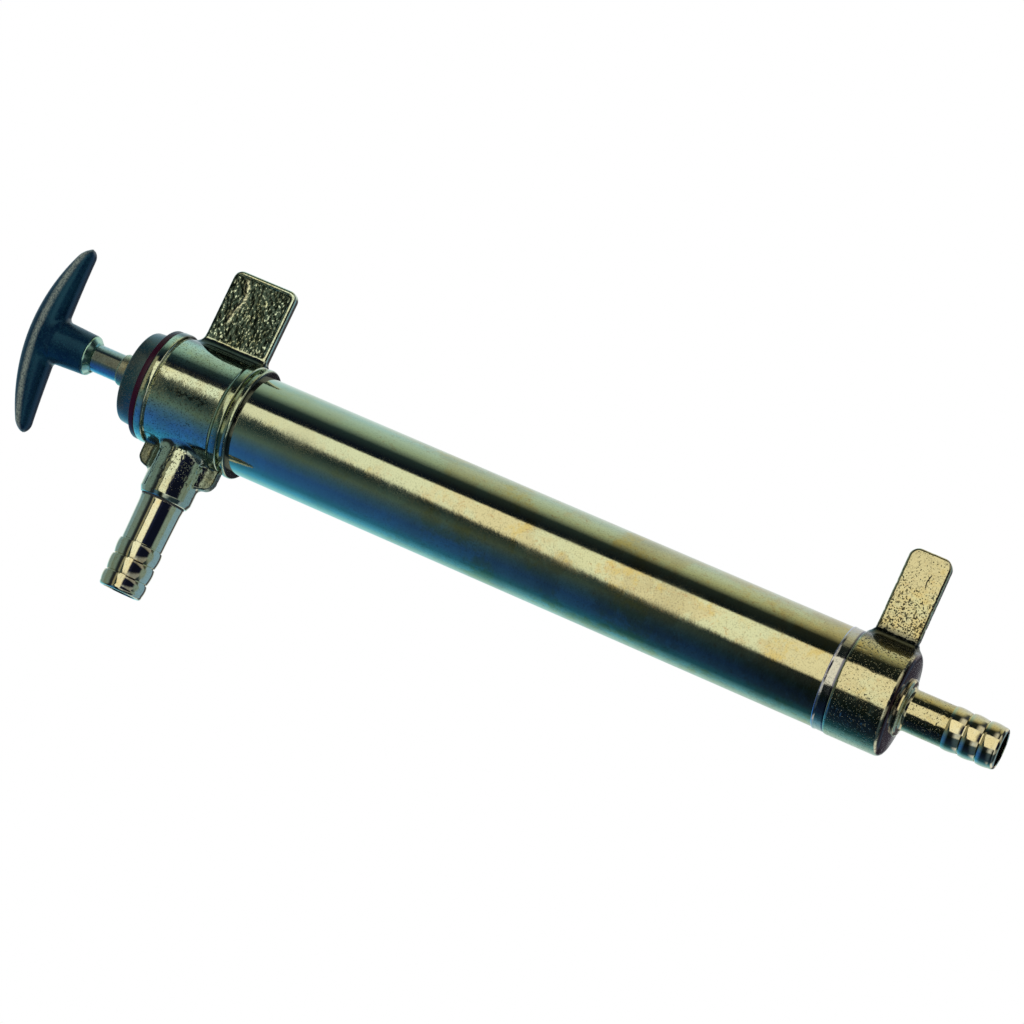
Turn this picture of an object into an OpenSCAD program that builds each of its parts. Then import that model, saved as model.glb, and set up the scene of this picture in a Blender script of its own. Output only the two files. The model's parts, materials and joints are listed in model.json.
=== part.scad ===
// Manual bilge pump: a lift pump with a bronze barrel, a foot casting that is brazed on
// and a head casting that screws on. A T-handled rod pulls a ported piston up the barrel.
// The frame's origin is on the barrel's axis at the end of the inlet tail. +Z runs up the
// axis to the handle, +X runs out to the two fixing lugs, and the outlet points along -X.

/* [Barrel] */
// Outside diameter of the barrel tube
tube_od = 50; // [48:1:54]
// Wall of the barrel tube
tube_wall = 2; // [1.5:0.5:2.5]
// Travel of the piston between its two stops
stroke = 270; // [180:10:360]

/* [Hose tails] */
// Radius of the waterway through both tails
water_r = 8.5; // [7.5:0.5:8.5]
// Radius over the barbs of the inlet tail
inlet_barb_r = 10.7; // [10.5:0.1:11]
// Radius over the barbs of the outlet tail
outlet_barb_r = 11.4; // [11.2:0.1:11.8]
// Distance from the barrel's axis to the end of the outlet tail
outlet_reach = 100; // [95:1:120]

/* [Fixing lugs] */
// Thickness of both lugs
lug_t = 6; // [5:0.5:7]
// Reach of the foot lug from the axis
foot_lug_x = 70.8; // [60:0.1:80]
// Width of the foot lug
foot_lug_w = 21.5; // [16:0.1:22]
// Reach of the head lug from the axis
head_lug_x = 67.7; // [60:0.1:80]
// Width of the head lug
head_lug_w = 34.7; // [30:0.1:35]

/* [Rod and handle] */
// Diameter of the pump rod
rod_d = 14; // [12:1:14]
// Distance from the rod's axis to each end of the handle
handle_half = 48.3; // [44:0.1:56]
// Angle of the handle about the rod when the pump is stored
handle_turn = -11.5; // [-90:0.5:90]

/* [Hidden] */
$fn = 96;
eps = 0.01;

// Barrel
tube_r = tube_od / 2;
bore_r = tube_r - tube_wall;
run_gap = 0.05;          // radial clearance of a running fit
float_gap = 0.15;        // end float of the rod's swivel

// Both hose tails
tail_round = 1.2;        // rounding of the end
crest_run = 1.6;         // straight crest of a barb
barb_step = 0.6;

// Foot casting, heights above the inlet tail's end
inlet_first = 8.9;       // step of the first barb
inlet_pitch = 8.6;
inlet_neck_r = 10.2;
inlet_neck_z = 45;       // top of the tail's plain neck
foot_z = 49.5;           // underside of the foot
foot_r = tube_r + 0.7;
foot_round = 4.5;
foot_top_z = 78.4;       // shoulder that the tube stands on
spigot_z = 90;           // top of the spigot inside the tube
chamber_r = bore_r - 4;
chamber_z = 60;
foot_lug_z = 54.3;       // lower edge of the foot lug

// Foot valve
seat_t = 4;
seat_hole_r = 7;
seat_cone = 1.4;         // depth of the seat's cone below its top
seat_z = chamber_z + seat_t;
ball_r = 10.5;
seat_gap = 0.2;          // the ball stands this far off its seat
ball_z = seat_z - seat_cone - seat_hole_r + ball_r * sqrt(2) + seat_gap * sqrt(2);
ball_lift = 5;
cage_z = ball_z + ball_r + ball_lift + 0.4;   // underside of the cage's cross
cage_bar = 3;

// Piston stack, from the rod's end nut up to the top of the piston's hub
pin_r = 5;               // turned-down ends of the rod
nut_z = spigot_z + 1;
nut_t = 6;
nut_r = 9.2;             // over the corners of the rod's end nut
end_washer_t = 1.5;
hub_z = nut_z + nut_t + end_washer_t + float_gap;
hub_r = 9;
piston_nut_z = hub_z + 0.4;
piston_nut_t = 5;
piston_nut_r = 13;       // over the corners
follower_z = piston_nut_z + piston_nut_t;
follower_t = 3;
cup_z = follower_z + follower_t;
cup_t = 2.4;
cup_h = 15;
piston_z = cup_z + cup_t;
piston_t = 8.5;
piston_r = bore_r - 2.4;
port_r = 2.6;
port_circle = 16.6;
port_count = 8;
valve_t = 3;
valve_z = piston_z + piston_t + 0.2;
valve_r = piston_r - 0.6;
valve_lift = 4.5;
stop_z = valve_z + valve_t + valve_lift + 0.3;
stop_t = 2;
stop_r = 13;
hub_top_z = 130;

// Head casting
head_z = hub_top_z + stroke - 0.8;
tube_top_z = head_z + 7.8;
joint_washer_t = 1.5;
head_r = tube_r + 2.2;
bead_r = tube_r + 3.2;
flange_r = tube_r + 3.6;
flange_z = head_z + 41.2;
flange_top_z = head_z + 45.6;
deck_z = head_z + 38.8;
cap_thread_r = tube_r - 6;
outlet_z = head_z + 20.2;
boss_r = 13.2;
boss_x = 48;             // end of the boss's straight part
boss_end_x = 51;
boss_end_r = 11.8;
tail_thread_r = 10.4;
tail_thread_x = 28;
ear_x = 39;
ear_low_z = head_z - 0.5;
ear_high_z = head_z + 41.2;
head_lug_z = head_z + 2.2;
lug_fillet = 5.5;

// Collar below the head
collar_z = head_z - 4.9;
collar_t = 2.9;
collar_r = tube_r + 3.3;

// Outlet tail
outlet_first = 7.5;
outlet_pitch = 8.55;
outlet_neck_r = 10.6;
tail_washer_t = 0.8;
tail_collar_r = 11.1;    // collar of the tail against its washer

// Gland
gasket_t = 3.2;
cap_z = flange_top_z + gasket_t;
cap_t = 9.8;
cap_r = tube_r - 1.6;
seal_r = 12;
seal_z = deck_z + 3;
seal_t = 5;
bush_r = 8;
bush_top_z = cap_z + cap_t + 10.6;
guide_r = 9.5;
guide_z = hub_top_z + stroke + 0.5;

// Rod and handle
rod_r = rod_d / 2;
rod_low_z = hub_top_z + float_gap;
ferrule_z = head_z + 83.9;
ferrule_t = 3.3;
grip_z = ferrule_z + ferrule_t;
insert_r = 6.5;
insert_top_z = grip_z + 20;
grip_hub_r = 10.2;
grip_hub_top_r = 11.2;
bar_low_z = head_z + 105.5;
bar_t = 17;
bar_outer_r = 96;        // arc of the bar's back
bar_inner_r = 650;       // arc of its nearly straight finger side
bar_tip_r = 4;

bronze = [0.72, 0.58, 0.30];
old_bronze = [0.45, 0.40, 0.24];
brass = [0.80, 0.66, 0.35];

// Points of an arc about [x, y]
function arc(x, y, r, from, to, n = 6) =
    [for (i = [0 : n]) let (a = from + (to - from) * i / n) [x + r * cos(a), y + r * sin(a)]];

// Outside of a hose tail as [radius, distance from its end]: a rounded end, then three
// shallow barbs that each rise to a short straight crest and step down behind it
function tail_outline(crest, first, pitch) = concat(
    [[crest - tail_round - 0.5, 0]],
    arc(crest - tail_round - 0.5, tail_round, tail_round, -60, 0, 3),
    [for (i = [0 : 2]) each [
        [crest, first + i * pitch - crest_run],
        [crest, first + i * pitch - 0.2],
        [crest - barb_step, first + i * pitch]
    ]]
);

// Sag below the crown of an arc of radius r
function sag(r, x) = r - sqrt(r * r - x * x);

// A ring between two radii
module ring(outer, inner, z, t) {
    translate([0, 0, z]) difference() {
        cylinder(r = outer, h = t);
        translate([0, 0, -1]) cylinder(r = inner, h = t + 2);
    }
}

// A flat plate in the XZ plane with its outer corners rounded
module lug_plate(x0, x1, z0, z1, corner) {
    rotate([90, 0, 0]) linear_extrude(height = lug_t, center = true) polygon(concat(
        [[x0, z0]],
        arc(x1 - corner, z0 + corner, corner, -90, 0),
        arc(x1 - corner, z1 - corner, corner, 0, 90),
        [[x0, z1]]
    ));
}

// Concave blend between a lug's two faces and the round body of radius r
module lug_root(r, z0, z1) {
    y = lug_t / 2 + lug_fillet;
    x = sqrt(pow(r + lug_fillet, 2) - y * y);
    touch = r / (r + lug_fillet);
    for (side = [0, 1]) mirror([0, side, 0]) translate([0, 0, z0]) {
        linear_extrude(height = z1 - z0) difference() {
            polygon([[x * touch - 1.5, 0], [x, 0], [x, y], [x * touch, y * touch],
                     [x * touch - 1.5, y * touch - 1]]);
            translate([x, y]) circle(r = lug_fillet);
        }
    }
}

module barrel_tube() {
    color(bronze) ring(tube_r, bore_r, foot_top_z, tube_top_z - foot_top_z);
}

module foot_casting() {
    color(brass) {
        difference() {
            union() {
                rotate_extrude() polygon(concat(
                    tail_outline(inlet_barb_r, inlet_first, inlet_pitch),
                    [[inlet_neck_r, 28], [inlet_neck_r, inlet_neck_z]],
                    arc(inlet_neck_r + 2.6, inlet_neck_z, 2.6, 180, 95, 5),
                    [[13.9, foot_z - 1.2], [14.3, foot_z]],
                    arc(foot_r - foot_round, foot_z + 1.1 + foot_round, foot_round, -82, 0),
                    [[foot_r, foot_top_z], [1, foot_top_z], [1, 0]]
                ));
                lug_plate(foot_r - 2, foot_lug_x, foot_lug_z, foot_lug_z + foot_lug_w, 5);
                lug_root(foot_r, foot_lug_z + 1.5, foot_lug_z + foot_lug_w);
                ring(bore_r, chamber_r, foot_top_z - 1, spigot_z - foot_top_z + 1);
            }
            translate([0, 0, -1]) cylinder(r = water_r, h = chamber_z + 2);
            translate([0, 0, chamber_z]) cylinder(r = chamber_r, h = spigot_z);
        }
    }
}

module foot_braze_ring() {
    color([0.70, 0.72, 0.72]) rotate_extrude() polygon([
        [tube_r, foot_top_z], [foot_r - 0.05, foot_top_z], [tube_r + 0.4, foot_top_z + 2],
        [tube_r + 0.15, foot_top_z + 4.8], [tube_r, foot_top_z + 5.4]
    ]);
}

module foot_valve_seat() {
    color(brass) difference() {
        translate([0, 0, chamber_z]) cylinder(r = chamber_r, h = seat_t);
        translate([0, 0, chamber_z - 1]) cylinder(r = seat_hole_r, h = seat_t + 2);
        translate([0, 0, seat_z - seat_cone])
            cylinder(r1 = seat_hole_r, r2 = seat_hole_r + 3, h = 3);
    }
}

module foot_valve_cage() {
    reach = 2 * chamber_r - 0.4;
    color(brass) intersection() {
        translate([0, 0, seat_z]) cylinder(r = chamber_r - 0.1, h = 60);
        union() {
            ring(chamber_r - 0.1, chamber_r - 3, seat_z, 3);
            difference() {
                for (turn = [0, 90]) rotate([0, 0, turn])
                    translate([-reach / 2, -cage_bar / 2, seat_z])
                        cube([reach, cage_bar, cage_z + cage_bar - seat_z]);
                translate([0, 0, seat_z - 1])
                    cylinder(r = ball_r + 0.5, h = cage_z - seat_z + 1);
            }
        }
    }
}

module foot_valve_ball() {
    color([0.15, 0.15, 0.16]) translate([0, 0, ball_z]) sphere(r = ball_r);
}

module tube_collar() {
    color(old_bronze) rotate_extrude() polygon(concat(
        [[tube_r, collar_z], [collar_r - 1.4, collar_z]],
        arc(collar_r - 1.4, collar_z + 1.4, 1.4, -80, 0, 4),
        [[collar_r, collar_z + collar_t], [tube_r, collar_z + collar_t]]
    ));
}

module head_casting() {
    color(old_bronze) difference() {
        union() {
            rotate_extrude() polygon(concat(
                [[tube_r - 3, head_z], [bead_r - 0.7, head_z]],
                arc(bead_r - 0.8, head_z + 0.8, 0.8, -80, 0, 3),
                arc(bead_r - 0.8, head_z + 3.4, 0.8, 0, 60, 3),
                arc(head_r + 2.6, head_z + 6.8, 2.6, 225, 180, 4),
                [[head_r, flange_z - 1], [head_r - 0.3, flange_z - 0.5], [head_r, flange_z]],
                arc(flange_r - 0.9, flange_z + 0.9, 0.9, -90, 0, 4),
                [[flange_r, flange_top_z], [tube_r - 3, flange_top_z]]
            ));
            lug_plate(head_r - 2, head_lug_x, head_lug_z, head_lug_z + head_lug_w, 4.5);
            lug_root(head_r, head_lug_z + 2.4, head_lug_z + head_lug_w);
            mirror([1, 0, 0]) lug_plate(head_r - 2, ear_x, ear_low_z, ear_high_z, 5.5);
            translate([0, 0, outlet_z]) rotate([0, -90, 0]) {
                cylinder(r = boss_r, h = boss_x);
                translate([0, 0, boss_x - eps])
                    cylinder(r1 = boss_r, r2 = boss_end_r, h = boss_end_x - boss_x + eps);
            }
            translate([0, 0, deck_z]) cylinder(r = head_r - 1, h = flange_top_z - deck_z);
        }
        translate([0, 0, head_z - 5]) cylinder(r = tube_r, h = tube_top_z - head_z + 5 + joint_washer_t);
        translate([0, 0, tube_top_z]) cylinder(r = bore_r, h = deck_z - tube_top_z);
        translate([0, 0, deck_z - 1]) cylinder(r = cap_thread_r, h = 20);
        translate([0, 0, outlet_z]) rotate([0, -90, 0]) cylinder(r = tail_thread_r, h = 80);
    }
}

module head_joint_washer() {
    color([0.35, 0.20, 0.15]) ring(tube_r, bore_r, tube_top_z, joint_washer_t);
}

module outlet_washer() {
    color([0.12, 0.12, 0.15]) translate([0, 0, outlet_z]) rotate([0, -90, 0])
        ring(tail_collar_r + 0.1, tail_thread_r, boss_end_x, tail_washer_t);
}

module outlet_hose_tail() {
    neck_x = boss_end_x + tail_washer_t;
    outline = [for (p = tail_outline(outlet_barb_r, outlet_first, outlet_pitch))
        [p[0], outlet_reach - p[1]]];
    color(brass) translate([0, 0, outlet_z]) rotate([0, -90, 0]) difference() {
        rotate_extrude() polygon(concat(
            [[1, outlet_reach]], outline,
            [[outlet_neck_r, outlet_reach - 26], [outlet_neck_r + 0.3, neck_x + 3],
             [tail_collar_r, neck_x + 1], [tail_collar_r, neck_x],
             [tail_thread_r, neck_x], [tail_thread_r, tail_thread_x], [1, tail_thread_x]]
        ));
        translate([0, 0, neck_x]) cylinder(r = water_r, h = outlet_reach);
        cylinder(r = water_r - 0.5, h = outlet_reach);
    }
}

module cap_gasket() {
    color([0.32, 0.05, 0.08]) ring(flange_r - 0.3, cap_thread_r, flange_top_z, gasket_t);
}

module gland_cap() {
    color([0.25, 0.23, 0.20]) difference() {
        rotate_extrude() polygon(concat(
            [[1, deck_z], [cap_thread_r, deck_z], [cap_thread_r, cap_z], [cap_r, cap_z]],
            arc(cap_r - 1.2, cap_z + cap_t - 1.2, 1.2, 0, 90, 5),
            [[1, cap_z + cap_t]]
        ));
        translate([0, 0, deck_z - 1]) cylinder(r = seal_r, h = seal_z + seal_t - deck_z + 1);
        translate([0, 0, deck_z - 1]) cylinder(r = bush_r, h = 40);
    }
}

module gland_bush() {
    color([0.50, 0.34, 0.20]) difference() {
        rotate_extrude() polygon(concat(
            [[1, seal_z + seal_t], [bush_r, seal_z + seal_t], [bush_r, cap_z + cap_t],
             [bush_r + 0.9, cap_z + cap_t], [bush_r + 0.5, cap_z + cap_t + 2]],
            arc(bush_r - 0.6, bush_top_z - 0.8, 0.8, 10, 80, 4),
            [[1, bush_top_z]]
        ));
        translate([0, 0, deck_z]) cylinder(r = rod_r + run_gap, h = 80);
    }
}

module rod_seal() {
    color([0.10, 0.10, 0.10]) ring(seal_r, rod_r + run_gap, seal_z, seal_t);
}

module rod_guide() {
    color(brass) difference() {
        union() {
            translate([0, 0, deck_z]) cylinder(r = seal_r, h = seal_z - deck_z);
            translate([0, 0, guide_z]) cylinder(r = guide_r, h = seal_z - guide_z);
        }
        translate([0, 0, guide_z - 1]) cylinder(r = rod_r + run_gap, h = 60);
    }
}

// Eight ports on one circle, for the piston and the discs under it
module ports(z, h) {
    for (i = [0 : port_count - 1]) rotate([0, 0, i * 360 / port_count])
        translate([port_circle, 0, z - 1]) cylinder(r = port_r, h = h + 2);
}

module piston_body() {
    color(brass) difference() {
        union() {
            translate([0, 0, piston_z]) cylinder(r = piston_r, h = piston_t);
            translate([0, 0, hub_z]) cylinder(r = hub_r, h = hub_top_z - hub_z);
        }
        translate([0, 0, hub_z - 1]) cylinder(r = pin_r + run_gap, h = 60);
        ports(piston_z, piston_t);
    }
}

module cup_leather() {
    color([0.45, 0.28, 0.14]) difference() {
        translate([0, 0, cup_z]) cylinder(r = bore_r - run_gap, h = cup_h);
        translate([0, 0, piston_z]) cylinder(r = piston_r, h = cup_h);
        translate([0, 0, cup_z - 1]) cylinder(r = hub_r, h = cup_h);
        ports(cup_z, cup_t);
    }
}

module piston_follower() {
    color(brass) difference() {
        translate([0, 0, follower_z]) cylinder(r = bore_r - 0.4, h = follower_t);
        translate([0, 0, follower_z - 1]) cylinder(r = hub_r, h = follower_t + 2);
        ports(follower_z, follower_t);
    }
}

module piston_nut() {
    color(brass) difference() {
        translate([0, 0, piston_nut_z]) cylinder(r = piston_nut_r, h = piston_nut_t, $fn = 6);
        translate([0, 0, piston_nut_z - 1]) cylinder(r = hub_r, h = piston_nut_t + 2);
    }
}

module valve_stop_ring() {
    color([0.70, 0.70, 0.72]) ring(stop_r, hub_r, stop_z, stop_t);
}

module piston_valve_disc() {
    color([0.13, 0.13, 0.14]) ring(valve_r, hub_r + 0.4, valve_z, valve_t);
}

module pump_rod() {
    color([0.62, 0.58, 0.48]) {
        translate([0, 0, nut_z]) cylinder(r = pin_r, h = rod_low_z - nut_z + eps);
        translate([0, 0, rod_low_z]) cylinder(r = rod_r, h = ferrule_z - rod_low_z);
        translate([0, 0, ferrule_z - eps]) cylinder(r = pin_r, h = insert_top_z - 2 - ferrule_z);
    }
}

module rod_end_washer() {
    color(brass) ring(hub_r, pin_r, nut_z + nut_t, end_washer_t);
}

module rod_end_nut() {
    color(brass) difference() {
        translate([0, 0, nut_z]) cylinder(r = nut_r, h = nut_t, $fn = 6);
        translate([0, 0, nut_z - 1]) cylinder(r = pin_r, h = nut_t + 2);
    }
}

module handle_ferrule() {
    color(brass) difference() {
        translate([0, 0, ferrule_z]) cylinder(r1 = rod_r + 0.1, r2 = grip_hub_r, h = ferrule_t);
        translate([0, 0, ferrule_z - 1]) cylinder(r = pin_r, h = ferrule_t + 2);
    }
}

module handle_insert() {
    color(brass) ring(insert_r, pin_r, grip_z, insert_top_z - 2 - grip_z);
}

// Ball at distance x along the handle's bar, sized to fill the crescent there
module bar_ball(x) {
    high = bar_low_z + bar_t - sag(bar_outer_r, abs(x));
    low = bar_low_z - sag(bar_inner_r, x);
    r = max(bar_tip_r, (high - low) / 2);
    translate([x, 0, high - r]) sphere(r = r, $fn = 32);
}

module handle() {
    steps = [-1, -0.66, -0.33, 0, 0.33, 0.66, 1];
    reach = handle_half - bar_tip_r;
    color([0.13, 0.14, 0.17]) rotate([0, 0, handle_turn]) difference() {
        union() {
            for (i = [0 : 5]) hull() {
                bar_ball(steps[i] * reach);
                bar_ball(steps[i + 1] * reach);
            }
            translate([0, 0, grip_z])
                cylinder(r1 = grip_hub_r, r2 = grip_hub_top_r, h = bar_low_z - grip_z + 3);
        }
        translate([0, 0, grip_z - 1]) cylinder(r = insert_r, h = insert_top_z - 1 - grip_z);
    }
}

barrel_tube();
foot_casting();
foot_braze_ring();
foot_valve_seat();
foot_valve_cage();
foot_valve_ball();
tube_collar();
head_casting();
head_joint_washer();
outlet_washer();
outlet_hose_tail();
cap_gasket();
gland_cap();
gland_bush();
rod_seal();
rod_guide();
piston_body();
cup_leather();
piston_follower();
piston_nut();
valve_stop_ring();
piston_valve_disc();
pump_rod();
rod_end_washer();
rod_end_nut();
handle_ferrule();
handle_insert();
handle();
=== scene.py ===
"""Looks of a bronze hand bilge pump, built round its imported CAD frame. Lengths are in millimetres
until a mesh is made, when they become metres."""

import json
import math

import bpy
import numpy as np
from mathutils import Matrix, Vector


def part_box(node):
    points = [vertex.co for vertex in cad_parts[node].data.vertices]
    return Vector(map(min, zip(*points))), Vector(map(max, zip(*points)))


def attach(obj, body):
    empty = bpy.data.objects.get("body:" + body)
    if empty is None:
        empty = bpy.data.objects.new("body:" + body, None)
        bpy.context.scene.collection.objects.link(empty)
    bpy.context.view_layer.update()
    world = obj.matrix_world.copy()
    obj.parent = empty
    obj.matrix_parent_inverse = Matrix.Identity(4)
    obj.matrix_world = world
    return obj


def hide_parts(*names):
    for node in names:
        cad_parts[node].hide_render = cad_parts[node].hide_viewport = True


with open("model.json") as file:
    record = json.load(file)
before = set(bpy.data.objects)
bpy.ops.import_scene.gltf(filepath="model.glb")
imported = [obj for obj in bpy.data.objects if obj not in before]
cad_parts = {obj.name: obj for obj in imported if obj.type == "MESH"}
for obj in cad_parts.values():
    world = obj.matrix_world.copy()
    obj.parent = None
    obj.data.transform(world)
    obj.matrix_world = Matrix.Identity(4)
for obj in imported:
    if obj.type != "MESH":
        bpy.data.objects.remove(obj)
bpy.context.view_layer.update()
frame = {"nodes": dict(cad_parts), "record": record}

MM = 0.001
SEGMENTS = 192                 # facets round a turned piece


# ---------------- places, from the frame

def low(node):
    """Lowest corner of a CAD node, in mm."""
    return np.array(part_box(node)[0]) / MM


def high(node):
    """Highest corner of a CAD node, in mm."""
    return np.array(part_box(node)[1]) / MM


TUBE_R = high("barrel_tube")[0]
FOOT_TOP = low("barrel_tube")[2]           # the shoulder that the tube stands on
TUBE_TOP = high("barrel_tube")[2]
FOOT_LUG_X = high("foot_casting")[0]
SPIGOT_TOP = high("foot_casting")[2]
BRAZE_TOP = high("foot_braze_ring")[2]
BORE_R = high("cup_leather")[0] + 0.05
CHAMBER_R = high("foot_valve_seat")[0]
CHAMBER_Z = low("foot_valve_seat")[2]
COLLAR_LOW, COLLAR_HIGH = low("tube_collar")[2], high("tube_collar")[2]
COLLAR_R = high("tube_collar")[0]
FLANGE_TOP = high("head_casting")[2]
FLANGE_R = high("head_casting")[1]
HEAD_Z = FLANGE_TOP - 45.6                 # lower face of the head's bead
HEAD_LUG_X = high("head_casting")[0]
BOSS_END = -low("head_casting")[0]
OUTLET_Z = (low("outlet_hose_tail")[2] + high("outlet_hose_tail")[2]) / 2
OUTLET_REACH = -low("outlet_hose_tail")[0]
OUTLET_CREST = high("outlet_hose_tail")[1]
CAP_LOW = high("cap_gasket")[2]
CAP_TOP = high("gland_cap")[2]
CAP_R = high("gland_cap")[0]
BUSH_TOP = high("gland_bush")[2]
FERRULE_LOW, GRIP_LOW = low("handle_ferrule")[2], high("handle_ferrule")[2]
GRIP_R = high("handle_ferrule")[0]
HANDLE_TOP = high("handle")[2]
ROD_R = high("pump_rod")[0]

FOOT_R = TUBE_R + 0.7
HEAD_R = TUBE_R + 2.2
LUG_T = 6.0
LUG_START = 15.0               # a lug's plate starts inside the body that it is cast on
FOOT_LUG_LOW, FOOT_LUG_HIGH = 54.3, 75.8
SLIT_Z = 62.6                  # the flaw on the foot lug
WATER_R = 8.5                  # water way through both hose tails
TAIL_THREAD_R = 10.38
INLET_CREST = 10.7
INLET_NECK = 10.2
HANDLE_TURN = math.radians(-11.5)
CAP_THREAD_R = 19.0
BOSS_R = 13.2
ROD_END_R = 5.0
FOOT_END = 50.1                # the foot's end face, at its rim
BARBS = 3
PEAK = 0.68                    # where along a barb its crest lies
HANDLE_REACH, BLUNT, CROWN_R = 48.2, 5.0, 96.0
CREASE_X, CREASE_Z = 38.0, HEAD_Z + 28.0   # where the crease on the head lug starts
CREASE_SWING, CREASE_BEND = 1.3, 3.7
SKIN_GAP = 1e-4                # keeps a cut off the face that it would lie on
CAST_STEP = 0.5                # grid for the castings' surfaces
HANDLE_STEP = 0.6


# ---------------- mesh making

def piece(name, verts, faces, material, nodes, body="barrel", slot=None, crease=35):
    """Makes a smooth-shaded piece from points in mm, riding on a body in place of CAD nodes. Its slot
    argument is not used."""
    slot = slot or material
    mesh = bpy.data.meshes.new(name)
    mesh.from_pydata((np.asarray(verts) * MM).tolist(), [], [list(map(int, f)) for f in faces])
    mesh.validate()
    mesh.shade_smooth()
    mesh.set_sharp_from_angle(angle=math.radians(crease))
    obj = bpy.data.objects.new(name, mesh)
    bpy.context.scene.collection.objects.link(obj)
    mesh.materials.append(MATERIALS[material])
    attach(obj, body)
    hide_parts(*nodes)
    return obj


def rounded(corners, steps=5):
    """Outline through (r, z, radius) corners, each turned with an arc of its radius."""
    points = []
    count = len(corners)
    for i, (x, y, radius) in enumerate(corners):
        here = np.array([x, y], float)
        if radius <= 0:
            points.append(here)
            continue
        before = np.array(corners[i - 1][:2], float) - here
        after = np.array(corners[(i + 1) % count][:2], float) - here
        a, b = before / np.linalg.norm(before), after / np.linalg.norm(after)
        half = math.acos(np.clip(a @ b, -1, 1)) / 2
        setback = radius / math.tan(half)
        middle = here + (a + b) / np.linalg.norm(a + b) * radius / math.sin(half)
        start, end = here + a * setback - middle, here + b * setback - middle
        t0 = math.atan2(start[1], start[0])
        turn = (math.atan2(end[1], end[0]) - t0 + math.pi) % (2 * math.pi) - math.pi
        for k in range(steps + 1):
            t = t0 + turn * k / steps
            points.append(middle + radius * np.array([math.cos(t), math.sin(t)]))
    return points


def turned(name, outline, material, nodes, along="Z", height=0.0, wobble=None, **how):
    """A closed outline of (radius, distance) turned about the barrel's axis, or along -X at a height."""
    outline = np.array(outline, float)
    rows, angles = len(outline), np.arange(SEGMENTS) * 2 * np.pi / SEGMENTS
    r = outline[:, 0][:, None] + np.zeros(SEGMENTS)
    h = outline[:, 1][:, None] + np.zeros(SEGMENTS)
    if wobble is not None:
        r = r + wobble(h, angles[None, :] + np.zeros((rows, 1)))
    a, b = r * np.cos(angles), r * np.sin(angles)
    if along == "Z":
        xyz = np.stack([a, b, h], -1)
    else:
        xyz = np.stack([-h, a, b], -1)
    verts = xyz.reshape(-1, 3) + np.array((0, 0, height))
    i, j = np.meshgrid(np.arange(rows), np.arange(SEGMENTS), indexing="ij")
    i2, j2 = (i + 1) % rows, (j + 1) % SEGMENTS
    here, above = i * SEGMENTS, i2 * SEGMENTS
    faces = np.stack([here + j, here + j2, above + j2, above + j], -1).reshape(-1, 4)
    ahead = np.roll(outline, -1, 0)
    area = np.sum(outline[:, 0] * ahead[:, 1] - ahead[:, 0] * outline[:, 1])
    if (area > 0) != (along == "Z"):
        faces = faces[:, ::-1]
    return piece(name, verts, faces, material, nodes, **how)


# ---------------- distance fields, for the castings

def outline_field(r, z, outline):
    """Signed distance from points (r, z) to a closed outline, negative inside."""
    nearest = np.full(r.shape, 1e9, r.dtype)
    inside = np.zeros(r.shape, bool)
    outline = np.array(outline, r.dtype)
    for a, b in zip(outline, np.roll(outline, -1, 0)):
        ex, ey = b - a
        length = ex * ex + ey * ey
        if length < 1e-12:
            continue
        px, py = r - a[0], z - a[1]
        t = np.clip((px * ex + py * ey) / length, 0, 1)
        nearest = np.minimum(nearest, (px - t * ex) ** 2 + (py - t * ey) ** 2)
        if ey != 0:
            crosses = ((a[1] > z) != (b[1] > z)) & (px < ex * py / ey)
            inside ^= crosses
    return np.where(inside, -1, 1) * np.sqrt(nearest)


def plate_field(x, y, z, x0, x1, z0, z1, corner, edge, half=LUG_T / 2):
    """Field of a plate in the XZ plane with rounded corners and edges, and of its endless outline."""
    qx = np.abs(x - (x0 + x1) / 2) - (x1 - x0) / 2 + corner
    qz = np.abs(z - (z0 + z1) / 2) - (z1 - z0) / 2 + corner
    flat = np.hypot(np.maximum(qx, 0), np.maximum(qz, 0)) + np.minimum(np.maximum(qx, qz), 0) - corner
    a, b = flat + edge, np.abs(y) - half + edge
    plate = np.hypot(np.maximum(a, 0), np.maximum(b, 0)) + np.minimum(np.maximum(a, b), 0) - edge
    return plate, flat


def joined(a, b, radius):
    """Union of two fields with a round fillet between them."""
    u, v = np.maximum(radius - a, 0), np.maximum(radius - b, 0)
    return np.maximum(radius, np.minimum(a, b)) - np.hypot(u, v)


def cut(a, b):
    """Field a with field b taken out of it."""
    return np.maximum(a, -b)


def surface(field, lowest, highest, step):
    """Points and quads of a field's zero surface, by surface nets, with the points moved on to it."""
    axes = [np.arange(lo, hi + step, step, dtype=np.float32) for lo, hi in zip(lowest, highest)]
    grid = np.stack(np.meshgrid(*axes, indexing="ij"), -1)
    values = field(grid[..., 0], grid[..., 1], grid[..., 2]).astype(np.float32)
    cells, number = net_points(values)
    points = (cells * step + np.array(lowest)).astype(np.float64)
    quads = net_quads(values < 0, number)
    for _ in range(3):
        value, slope = slope_of(field, points)
        points -= slope * np.clip(value, -step, step)[:, None]
    return points, quads


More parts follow.
